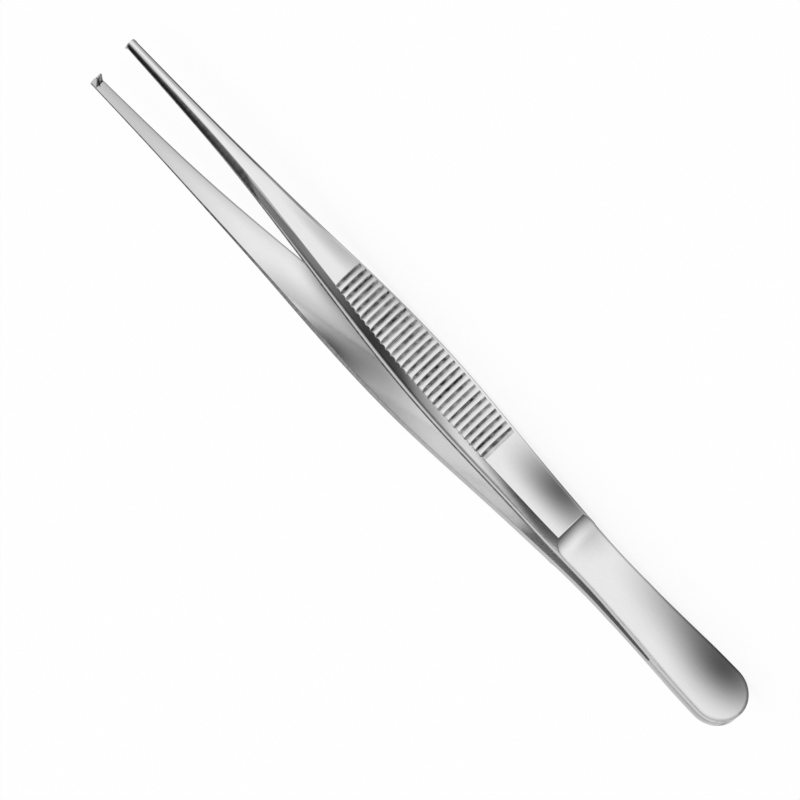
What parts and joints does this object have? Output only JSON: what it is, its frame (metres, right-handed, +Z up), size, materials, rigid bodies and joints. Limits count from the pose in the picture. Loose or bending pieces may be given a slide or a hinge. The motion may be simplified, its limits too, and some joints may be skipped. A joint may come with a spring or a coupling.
{
  "type": "thumb forceps",
  "caption": "Sprung steel thumb forceps with toothed tips, cross-grooved finger grips and a welded butt, lying on its side.",
  "frame": {"origin": "middle of the footprint, on the surface that the forceps lie on, halfway between butt and tips and halfway between the arms", "axes": "+X from the butt to the tips, Y the direction in which the arms open with the two-tooth arm on the +Y side, +Z up across the width of the arms"},
  "size_m": [0.145, 0.019, 0.0103],
  "materials": {
    "single_tooth_arm": "satin ground stainless steel",
    "double_tooth_arm": "satin ground stainless steel"
  },
  "bodies": {
    "root": {"single_tooth_arm": "single_tooth_arm", "double_tooth_arm": "double_tooth_arm"}
  },
  "joints": []
}
